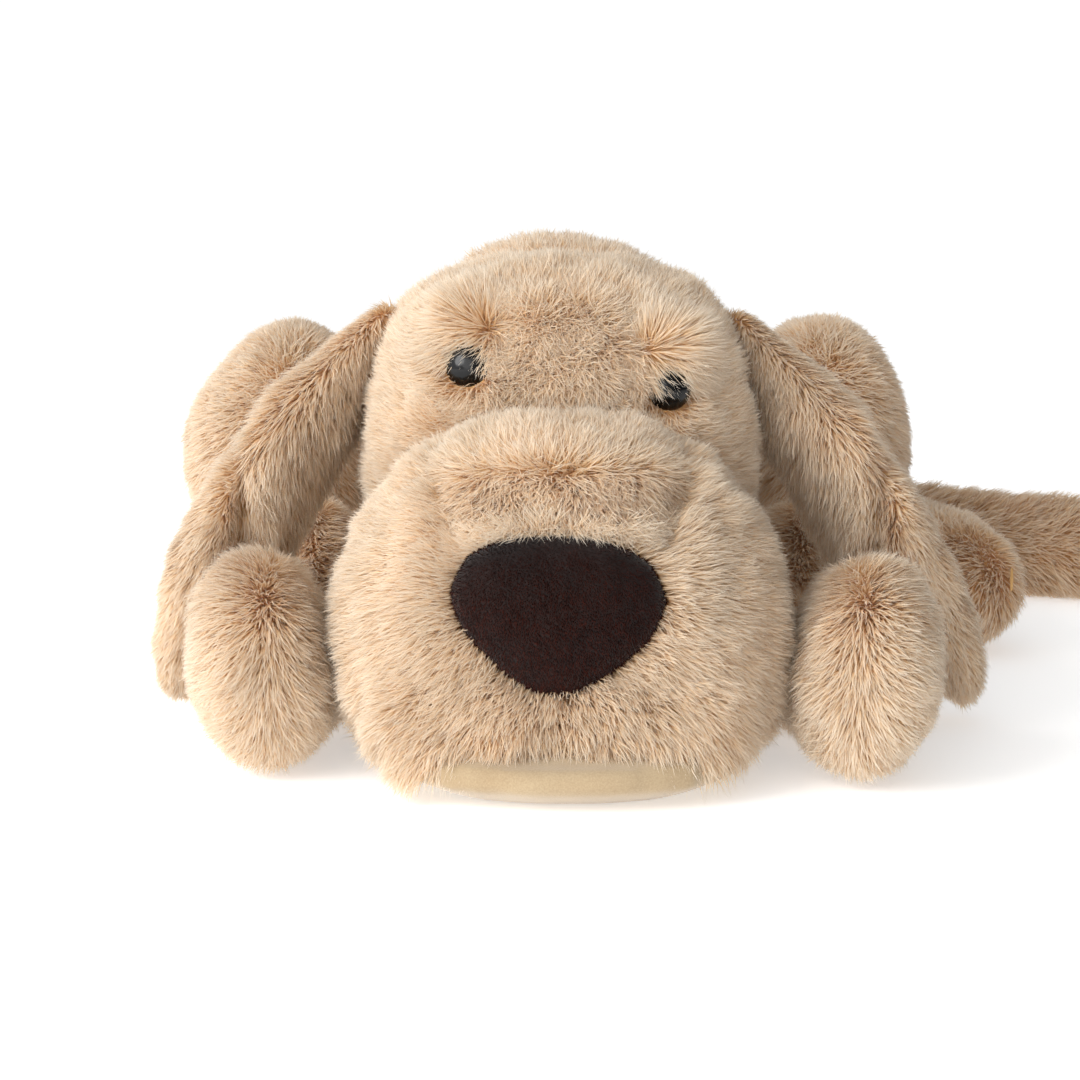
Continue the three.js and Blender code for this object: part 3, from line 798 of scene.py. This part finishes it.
def pile_tree():
    """Geometry Nodes: a tapered, bent blade for each tuft of fibres, leaning as the skin's groom says."""
    tree = bpy.data.node_groups.new("pile", "GeometryNodeTree")
    kinds = {"Skin": "Geometry", "Seed": "Int", "Bends": "Int", "Fibre": "Material"}
    lengths = ("Length", "Width", "Clump Size", "Tuft Size")
    shares = ("Density", "Lean", "Clump Pull", "Tuft Sway", "Fray", "Half")
    for label in ("Skin", *lengths, *shares, "Seed", "Bends", "Fibre"):
        kind = "NodeSocket" + kinds.get(label, "Float")
        tree.interface.new_socket(name=label, in_out="INPUT", socket_type=kind)
    tree.interface.new_socket(name="Pile", in_out="OUTPUT", socket_type="NodeSocketGeometry")
    given = node(tree, "NodeGroupInput").outputs

    def add(kind, *values, out=0, named=None, **settings):
        """Adds a node to this tree, its inputs in order or named, and gives one of its outputs."""
        return node(tree, kind, {**dict(enumerate(values)), **(named or {})}, **settings).outputs[out]

    # What the skin's groom says at each point.
    says = {key: add(READ, key, data_type="FLOAT") for key in ("furred", "stand", "reach")}
    normal = add(VECTOR, add(READ, "skin_normal", data_type="FLOAT_VECTOR"), operation="NORMALIZE")
    groomed = add(READ, "comb", data_type="FLOAT_VECTOR")
    # What differs from blade to blade, each drawn with a seed of its own: (salt, lowest, highest).
    drawn = {}
    for key, (salt, low, high) in {
        "stray": (3.0, (-1, -1, -1), (1, 1, 1)),
        "lean": (5.0, -0.15, 0.2),
        "reach": (7.0, 0.86, 1.04),
        "turn": (11.0, -0.9, 0.9),
        "tone": (13.0, 0.0, 1.0),
        "shade": (17.0, (-1, -1, -1), (1, 1, 1)),
    }.items():
        first, out, kind = (0, 0, "FLOAT_VECTOR") if isinstance(low, tuple) else (2, 1, "FLOAT")
        seed = add(MATH, given["Seed"], salt, operation="ADD")
        asked = {first: low, first + 1: high, "Seed": seed}
        drawn[key] = add("FunctionNodeRandomValue", out=out, named=asked, data_type=kind)
    # Half picks one side of the part: 1 left, -1 right, 0 both.
    root = add("GeometryNodeInputPosition")
    here = add("ShaderNodeSeparateXYZ", root, out="X")
    turned_side = add(MATH, here, given["Half"], operation="MULTIPLY")
    wrong_side = add(MATH, turned_side, 0.0, operation="LESS_THAN")
    right_side = add(MATH, 1.0, wrong_side, operation="SUBTRACT")
    density = add(MATH, given["Density"], says["furred"], operation="MULTIPLY")
    density = add(MATH, density, right_side, operation="MULTIPLY")
    points = add(
        "GeometryNodeDistributePointsOnFaces",
        named={"Mesh": given["Skin"], "Density": density, "Seed": given["Seed"]},
        distribute_method="RANDOM",
    )
    # The way each blade goes: up out of the skin, and over along the groom.
    stray = add(VECTOR, drawn["stray"], given["Fray"], operation="MULTIPLY")
    loose = add(VECTOR, groomed, stray, operation="ADD")
    rise = add(VECTOR, loose, normal, out="Value", operation="DOT_PRODUCT")
    rise = add(VECTOR, normal, rise, operation="MULTIPLY")
    flow = add(VECTOR, loose, rise, operation="SUBTRACT")
    flow = add(VECTOR, flow, operation="NORMALIZE")
    lean = add(MATH, given["Lean"], says["stand"], operation="MULTIPLY")
    lean = add(MATH, lean, drawn["lean"], operation="ADD")
    reach = add(MATH, given["Length"], says["reach"], operation="MULTIPLY")
    reach = add(MATH, reach, drawn["reach"], operation="MULTIPLY")
    up = add(MATH, reach, add(MATH, lean, operation="COSINE"), operation="MULTIPLY")
    over = add(MATH, reach, add(MATH, lean, operation="SINE"), operation="MULTIPLY")
    stem = add(VECTOR, normal, up, operation="MULTIPLY")
    sweep = add(VECTOR, flow, over, operation="MULTIPLY")
    # Blades gather towards the middle of their clump.
    clumps = add(MATH, 1.0, given["Clump Size"], operation="DIVIDE")
    cell = add("ShaderNodeTexVoronoi", out="Position", named={"Vector": root, "Scale": clumps})
    centre = add(VECTOR, cell, root, operation="SUBTRACT")
    inward = add(VECTOR, centre, normal, out="Value", operation="DOT_PRODUCT")
    inward = add(VECTOR, normal, inward, operation="MULTIPLY")
    gather = add(VECTOR, centre, inward, operation="SUBTRACT")
    gather = add(VECTOR, gather, given["Clump Pull"], operation="MULTIPLY")
    # Tufts sway together.
    tufts = add(MATH, 1.0, given["Tuft Size"], operation="DIVIDE")
    drift = add("ShaderNodeTexNoise", out=1, named={"Vector": root, "Scale": tufts, "Detail": 1.0})
    sway = add(VECTOR, drift, (0.5, 0.5, 0.5), operation="SUBTRACT")
    sway = add(VECTOR, sway, given["Tuft Sway"], operation="MULTIPLY")
    sway = add(VECTOR, sway, reach, operation="MULTIPLY")
    sweep = add(VECTOR, sweep, sway, operation="ADD")
    beside = add(VECTOR, flow, normal, operation="CROSS_PRODUCT")
    beside = add(VECTOR, beside, operation="NORMALIZE")
    beside = add(
        "ShaderNodeVectorRotate",
        named={"Vector": beside, "Axis": normal, "Angle": drawn["turn"]},
        rotation_type="AXIS_ANGLE",
    )
    beside = add(VECTOR, beside, given["Width"], operation="MULTIPLY")
    # A blade is lit as the skin under it is, with a little of its own.
    shade = add(VECTOR, normal, (0.8, 0.8, 0.8), operation="MULTIPLY")
    own = add(VECTOR, drawn["shade"], (0.15, 0.15, 0.15), operation="MULTIPLY")
    shade = add(VECTOR, shade, own, operation="ADD")
    facts = {"root": root, "stem": stem, "sweep": sweep, "gather": gather, "beside": beside, "shade": shade}
    for key, value in {**facts, "tone": drawn["tone"]}.items():
        kind = "FLOAT_VECTOR" if key in facts else "FLOAT"
        kept = {"Geometry": points, "Name": key, "Value": value}
        points = add(KEEP, named=kept, data_type=kind, domain="POINT")
    # One blade: a strip that comes to a point; one triangle when it is straight, three when it bends once.
    rows = add(MATH, given["Bends"], 2.0, operation="ADD")
    strip = {"Size X": 1.0, "Size Y": 1.0, "Vertices X": 2, "Vertices Y": rows}
    blade = add("GeometryNodeMeshGrid", named=strip)
    parts = node(tree, "ShaderNodeSeparateXYZ", {0: add("GeometryNodeInputPosition")}).outputs
    not_tip = add(MATH, parts["Y"], 0.4, operation="LESS_THAN")
    narrow = add(MATH, parts["X"], not_tip, operation="MULTIPLY")
    to_point = add("ShaderNodeCombineXYZ", narrow, parts["Y"])
    blade = add("GeometryNodeSetPosition", named={"Geometry": blade, "Position": to_point})
    blade = add("GeometryNodeMergeByDistance", named={"Geometry": blade, "Distance": 0.01})
    along = add(MATH, parts["Y"], 0.5, operation="ADD")
    for key, value in {"along": along, "side": parts["X"]}.items():
        kept = {"Geometry": blade, "Name": key, "Value": value}
        blade = add(KEEP, named=kept, data_type="FLOAT", domain="POINT")
    coat = add("GeometryNodeInstanceOnPoints", named={"Points": points, "Instance": blade})
    coat = add("GeometryNodeRealizeInstances", coat)
    # Where each corner of a blade goes: it rises fast and bends over late.
    t = add(READ, "along", data_type="FLOAT")
    side = add(READ, "side", data_type="FLOAT")
    at = {key: add(READ, key, data_type="FLOAT_VECTOR") for key in facts}
    squared = add(MATH, t, t, operation="MULTIPLY")
    fast = add(MATH, t, 1.25, operation="MULTIPLY")
    slowing = add(MATH, squared, 0.25, operation="MULTIPLY")
    rising = add(MATH, fast, slowing, operation="SUBTRACT")
    early = add(MATH, t, 0.35, operation="MULTIPLY")
    late = add(MATH, squared, 0.65, operation="MULTIPLY")
    bending = add(MATH, early, late, operation="ADD")
    where = at["root"]
    for key, factor in {"stem": rising, "sweep": bending, "gather": squared, "beside": side}.items():
        step = add(VECTOR, at[key], factor, operation="MULTIPLY")
        where = add(VECTOR, where, step, operation="ADD")
    # What would go through the floor lies along it.
    axes = node(tree, "ShaderNodeSeparateXYZ", {0: where}).outputs
    level = add(MATH, axes["Z"], 0.3 * MM, operation="MAXIMUM")
    where = add("ShaderNodeCombineXYZ", axes["X"], axes["Y"], level)
    coat = add("GeometryNodeSetPosition", named={"Geometry": coat, "Position": where})
    lit = {"Mesh": coat, "Custom Normal": at["shade"]}
    coat = add("GeometryNodeSetMeshNormal", named=lit, mode="FREE", domain="POINT")
    for key in (*facts, "side", "comb", "skin_normal", "furred", "reach", "stand"):
        coat = add("GeometryNodeRemoveAttribute", named={"Geometry": coat, "Name": key})
    coat = add("GeometryNodeSetMaterial", named={"Geometry": coat, "Material": given["Fibre"]})
    node(tree, "NodeGroupOutput", {0: coat})
    return tree


PILE_TREE = pile_tree()


def goes_with(piece, body, slot, *solids, fill=None):
    """Says which body carries a piece and the solids that it stands for, which it hides; its slot and how
    full it is are not used.
    """
    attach(piece, body)
    if solids:
        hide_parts(*solids)


# The look of each kind of pile: how long and wide a fibre is, how it lies, gathers and strays.
TOP_COAT = {"Length": PILE, "Width": 0.68 * MM, "Lean": 0.92, "Clump Size": 5 * MM, "Clump Pull": 0.2,
            "Tuft Size": 14 * MM, "Tuft Sway": 0.9, "Fray": 0.45, "Bends": 1, "Fibre": LONG_PILE}
UNDERCOAT = {**TOP_COAT, "Length": 0.8 * PILE, "Width": 0.78 * MM, "Lean": 0.78, "Fray": 0.5, "Bends": 0}
SMOOTH = {"Clump Pull": 0.1, "Tuft Sway": 0.6}
VELOUR_COAT = {**TOP_COAT, "Length": SHORT_PILE, "Width": 0.32 * MM, "Lean": 0.7, "Clump Size": 2 * MM,
               "Clump Pull": 0.2, "Tuft Size": 9 * MM, "Fray": 0.5, "Bends": 0, "Fibre": NOSE_PILE}


def grow(label, name, body, density, coat, slot="fur_fabric", seed=1, halves=(0,), **changes):
    """Grows one coat on a part's skin, as pieces of its own that go with it. density is per square cm."""
    skin = made[name]
    for half in halves:
        values = {**coat, **changes, "Density": density * 1e4, "Seed": seed, "Half": float(half)}
        growing = skin.modifiers.new("pile", "NODES")
        growing.node_group = PILE_TREE
        for item in PILE_TREE.interface.items_tree:
            if item.in_out == "INPUT" and item.name in values:
                growing[item.identifier] = values[item.name]
        bpy.context.view_layer.update()
        graph = bpy.context.evaluated_depsgraph_get()
        mesh = bpy.data.meshes.new_from_object(skin.evaluated_get(graph), depsgraph=graph)
        skin.modifiers.clear()
        suffix = {0: "", 1: "_left", -1: "_right"}[half]
        piece = put(f"{name}_{label}{suffix}", mesh)
        goes_with(piece, body, slot)


BOTH = (1, -1)
grow("top_coat", "head", "head", 90, TOP_COAT, seed=11, halves=BOTH)
grow("undercoat", "head", "head", 185, UNDERCOAT, seed=12, halves=BOTH)
grow("top_coat", "muzzle", "head", 90, TOP_COAT, seed=23, halves=BOTH)
grow("undercoat", "muzzle", "head", 185, UNDERCOAT, seed=24, halves=BOTH)
grow("top_coat", "torso", "torso", 22, TOP_COAT, seed=31, Width=1.0 * MM)
grow("undercoat", "torso", "torso", 56, UNDERCOAT, seed=32, Width=1.1 * MM)
grow("top_coat", "tail", "tail", 27, TOP_COAT, seed=37, Width=0.9 * MM)
grow("undercoat", "tail", "tail", 75, UNDERCOAT, seed=38, Width=1.0 * MM)
for _i, (_side, _) in enumerate(SIDES):
    _limb = f"ear_{_side}"
    grow("top_coat", _limb, _limb, 88, TOP_COAT, seed=41 + _i, Width=0.88 * MM, **SMOOTH)
    grow("undercoat", _limb, _limb, 160, UNDERCOAT, seed=43 + _i, Width=1.0 * MM, **SMOOTH)
    _limb = f"front_leg_{_side}"
    grow("top_coat", _limb, _limb, 65, TOP_COAT, seed=51 + _i, Width=0.85 * MM, **SMOOTH)
    grow("undercoat", _limb, _limb, 150, UNDERCOAT, seed=53 + _i, Width=0.95 * MM, **SMOOTH)
    _limb = f"hind_leg_{_side}"
    grow("top_coat", _limb, _limb, 32, TOP_COAT, seed=61 + _i, Width=1.0 * MM, **SMOOTH)
    grow("undercoat", _limb, _limb, 85, UNDERCOAT, seed=63 + _i, Width=1.15 * MM, **SMOOTH)
grow("velour", "nose", "head", 360, VELOUR_COAT, slot="nose_velour", seed=71)


# ---- Skins, soles, filling ----

LIMBS = [f"{kind}_{side}" for side, _ in SIDES for kind in ("ear", "front_leg", "hind_leg")]
BODY_OF = {part: "head" for part in ("head", "muzzle", "nose", "chin")}
BODY_OF.update({part: part for part in ("torso", "tail", *LIMBS)})
REPLACED = {part: [f"{part}_skin"] for part in ("torso", "head", "muzzle", "tail")}
REPLACED.update(
    {part: [f"{part}_outer", f"{part}_inner"] if "ear" in part else [f"{part}_skin"] for part in LIMBS}
)
FILLINGS = {part: f"{part}_stuffing" for part in ("torso", "head", "muzzle", "tail")}
FILLINGS.update({"nose": "nose_padding", "chin": "chin_stuffing"})
FILLINGS.update({part: f"{part}_wadding" if "ear" in part else f"{part}_stuffing" for part in LIMBS})


def finish_mesh(obj, material):
    obj.data.materials.clear()
    obj.data.materials.append(material)
    for polygon in obj.data.polygons:
        polygon.use_smooth = True


def sole_under(name, part, body, material, replaced, slot):
    """A smooth panel over the flat that a part lies on, stitched round its edge."""
    bm = bmesh.new()
    bm.from_mesh(made[part].data)
    high = [f for f in bm.faces if f.calc_center_median().z > SEAM_Z]
    bmesh.ops.delete(bm, geom=high, context="FACES")
    for vertex in bm.verts:
        vertex.co += vertex.normal * 0.8 * MM
        vertex.co.z = max(vertex.co.z, 0.2 * MM)
    sole = put_built(name, bm)
    thick = sole.modifiers.new("cloth", "SOLIDIFY")
    thick.thickness, thick.offset = 1.2 * MM, -1.0
    applied(sole)
    finish_mesh(sole, material)
    goes_with(sole, body, slot, replaced, fill=0.3)


sole_under("belly_panel_plush", "torso", "torso", VELBOA, "belly_panel", "fur_fabric")
for _side, _ in SIDES:
    for _part in (f"front_leg_{_side}", f"hind_leg_{_side}"):
        sole_under(f"{_part}_sole_velboa", _part, _part, VELBOA, f"{_part}_sole", "short_pile")


def fill_inside(part, solid):
    """The filling that a skin holds: the same shape, drawn in, with the lumps that loose fibre has."""
    filling = put(f"{part}_fibrefill", made[part].data.copy())
    small = part in ("nose", "chin") or part.startswith("ear")
    even = filling.modifiers.new("even", "REMESH")
    even.mode, even.voxel_size = "VOXEL", (5 if small else 9) * MM
    applied(filling)
    co = points_of(filling)
    lumps = np.sin(co[:, 0] / (9 * MM)) * np.sin(co[:, 1] / (11 * MM)) * np.sin(co[:, 2] / (8 * MM))
    depth = (2.2 if small else 3.5) * MM + lumps * 0.8 * MM
    set_points(filling, co - normals_of(filling) * depth[:, None])
    finish_mesh(filling, FIBREFILL)
    goes_with(filling, BODY_OF[part], "stuffing", solid, fill=0.8)


for _part, _solid in FILLINGS.items():
    fill_inside(_part, _solid)

for _part, _nodes in REPLACED.items():
    finish_mesh(made[_part], BACKING)
    _full = 0.55 if _part.startswith("ear") else 0.75
    goes_with(made[_part], BODY_OF[_part], "fur_fabric", *_nodes, fill=_full)
for _part, _nodes, _cloth, _slot in (
    ("chin", "chin_panel", VELBOA, "short_pile"),
    ("nose", "nose_cover", VELOUR, "nose_velour"),
):
    finish_mesh(made[_part], _cloth)
    goes_with(made[_part], "head", _slot, _nodes, fill=0.8)


# ---- Eyes ----


def turned(name, profile, front, look, around=48):
    """A turned shape: profile holds (radius, place along the look from the seat), from front to back."""
    bm = bmesh.new()
    axis = Vector(look)
    one = axis.orthogonal().normalized()
    other = axis.cross(one)
    rings = []
    for radius, along in profile:
        base = Vector(front) + axis * along
        if radius < 1e-7:
            rings.append([bm.verts.new(base)])
            continue
        angles = [2 * math.pi * k / around for k in range(around)]
        rim = [base + (one * math.cos(a) + other * math.sin(a)) * radius for a in angles]
        rings.append([bm.verts.new(place) for place in rim])
    for first, second in zip(rings[:-1], rings[1:]):
        for k in range(around):
            corner = [first[k % len(first)], first[(k + 1) % len(first)]]
            corner += [second[(k + 1) % len(second)], second[k % len(second)]]
            bm.faces.new(list(dict.fromkeys(corner)))
    bmesh.ops.recalc_face_normals(bm, faces=bm.faces)
    return put_built(name, bm)


EYE_SUNK = 7.6 * MM  # how far the pile round an eye stands over its seat


EYE_RADIUS, EYE_RISE = 10, 7.8  # mm


def make_eye(side):
    """A dome with a rolled edge on a ribbed post, in one."""
    front, look = EYES[side]
    front = front - look * EYE_SUNK
    turns = np.linspace(0, math.pi / 2, 14)
    dome = [(EYE_RADIUS * math.sin(a) * MM, -EYE_RISE * (1 - math.cos(a)) * MM) for a in turns]
    back = [(9.6 * MM, -8.8 * MM), (8.8 * MM, -9.2 * MM), (3.6 * MM, -9.2 * MM)]
    ribs = []
    for k in range(6):
        ribs += [(3.5 * MM, (-19.0 - k) * MM), (2.9 * MM, (-19.5 - k) * MM)]
    post = [(3.5 * MM, -9.6 * MM), *ribs, (2.2 * MM, -25.0 * MM), (0.0, -25.2 * MM)]
    eye = turned(f"eye_{side}_dome", dome + back + post, front, look)
    finish_mesh(eye, EYE_PLASTIC)
    goes_with(eye, "head", "eye_plastic", f"eye_{side}")


for _side, _ in SIDES:
    make_eye(_side)


def toe_stitch(part, side, place):
    """The doubled thread of a toe stitch, pulled down into the pile."""
    top = place + mm(0, 5, 6)
    tapered = [(0.7 * MM, -0.5 * MM), (0.9 * MM, -6 * MM), (0.7 * MM, -11.5 * MM)]
    profile = [(0.0, 0.0), *tapered, (0.0, -12 * MM)]
    stitch = turned(f"{part}_paw_{side}_toe_stitch", profile, top, UP, around=12)
    finish_mesh(stitch, THREAD)
    goes_with(stitch, f"{part}_leg_{side}", "thread", f"{part}_paw_{side}_toe_thread")


for _side, _ in SIDES:
    toe_stitch("front", _side, TOES[_side])
    toe_stitch("hind", _side, HIND_TOES[_side])

# ---- Frame solids that stay ----

KEPT = {"bean_pouch": CALICO, "care_label": SATIN}
for _side, _ in SIDES:
    KEPT[f"eye_washer_{_side}"] = NYLON
for _node, _material in KEPT.items():
    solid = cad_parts[_node]
    if not solid.material_slots:
        solid.data.materials.append(_material)
    for place_for in solid.material_slots:
        place_for.material = _material


# ---- Floor, light and camera ----


LEFT_WALL, RIGHT_WALL, CEILING, BACK_WALL = 1.3, 0.15, 0.78, 1.05  # how bright each is
FLOOR_GLOW = 0.44  # keeps the paper as white as the walls
FLOOR_REACH = 6.0  # metres from the middle to the floor's edge
CAMERA_AT = (-0.009, -1.360, 0.250)
LOOKS_DOWN = 8.2  # degrees


def light_the_room(tree):
    """A white room: brightest on the left, dimmer overhead and on the right, and white at the back."""
    tree.nodes.clear()
    way = node(tree, "ShaderNodeTexCoord").outputs["Generated"]
    x, y, z = node(tree, "ShaderNodeSeparateXYZ", {0: way}).outputs
    side = node(tree, "ShaderNodeMapRange", {"Value": x, 1: -0.9, 2: 0.8, 3: LEFT_WALL, 4: RIGHT_WALL})
    ceiling = node(tree, "ShaderNodeMapRange", {"Value": z, 1: 0.3, 2: 0.95, 3: 1.0, 4: CEILING})
    room = node(tree, MATH, {0: side.outputs[0], 1: ceiling.outputs[0]}, operation="MULTIPLY")
    back = node(tree, "ShaderNodeMapRange", {"Value": y, 1: 0.6, 2: 0.9})
    low = node(tree, "ShaderNodeMapRange", {"Value": z, 1: 0.6, 2: 0.35})
    wall = node(tree, MATH, {0: back.outputs[0], 1: low.outputs[0]}, operation="MULTIPLY")
    levels = {0: wall.outputs[0], 2: room.outputs[0], 3: BACK_WALL}
    strength = node(tree, "ShaderNodeMix", levels, data_type="FLOAT")
    sky = node(tree, "ShaderNodeBackground", {"Color": (1, 1, 1, 1), "Strength": strength.outputs[0]})
    node(tree, "ShaderNodeOutputWorld", {"Surface": sky.outputs[0]})


def set_stage():
    mesh = bpy.data.meshes.new("floor")
    edge = FLOOR_REACH
    ends = [(-edge, -edge, 0), (edge, -edge, 0), (edge, edge, 0), (-edge, edge, 0)]
    mesh.from_pydata(ends, [], [(0, 1, 2, 3)])
    floor = put("floor", mesh)
    material, tree, shader = new_material("white_paper_floor")
    settle(shader, {"Base Color": (0.94, 0.94, 0.94, 1), "Roughness": 0.95, "Specular IOR Level": 0.1})
    settle(shader, {"Emission Color": (1, 1, 1, 1), "Emission Strength": FLOOR_GLOW})
    mesh.materials.append(material)
    world = bpy.data.worlds.new("studio")
    bpy.context.scene.world = world
    world.use_nodes = True
    light_the_room(world.node_tree)
    lamps = (
        ("key", (-1.6, -1.4, 1.15), 1.5, 37, (1.0, 0.99, 0.98)),
        ("fill", (-0.6, -2.3, 0.9), 1.8, 15, (1.0, 0.99, 0.98)),
    )
    for name, place, size, power, colour in lamps:
        data = bpy.data.lights.new(name, "AREA")
        data.shape, data.size, data.energy, data.color = "DISK", size, power, colour
        lamp = bpy.data.objects.new(name, data)
        bpy.context.scene.collection.objects.link(lamp)
        lamp.location = place
        aim = Vector((0, -0.1, 0.1)) - Vector(place)
        lamp.rotation_euler = aim.to_track_quat("-Z", "Y").to_euler()
    data = bpy.data.cameras.new("camera")
    data.lens, data.sensor_width = 86.2, 36.0
    camera = bpy.data.objects.new("camera", data)
    bpy.context.scene.collection.objects.link(camera)
    camera.location = CAMERA_AT
    camera.rotation_euler = (math.radians(90 - LOOKS_DOWN), 0, 0)
    bpy.context.scene.camera = camera
    bpy.context.scene.view_settings.view_transform = "Standard"


set_stage()
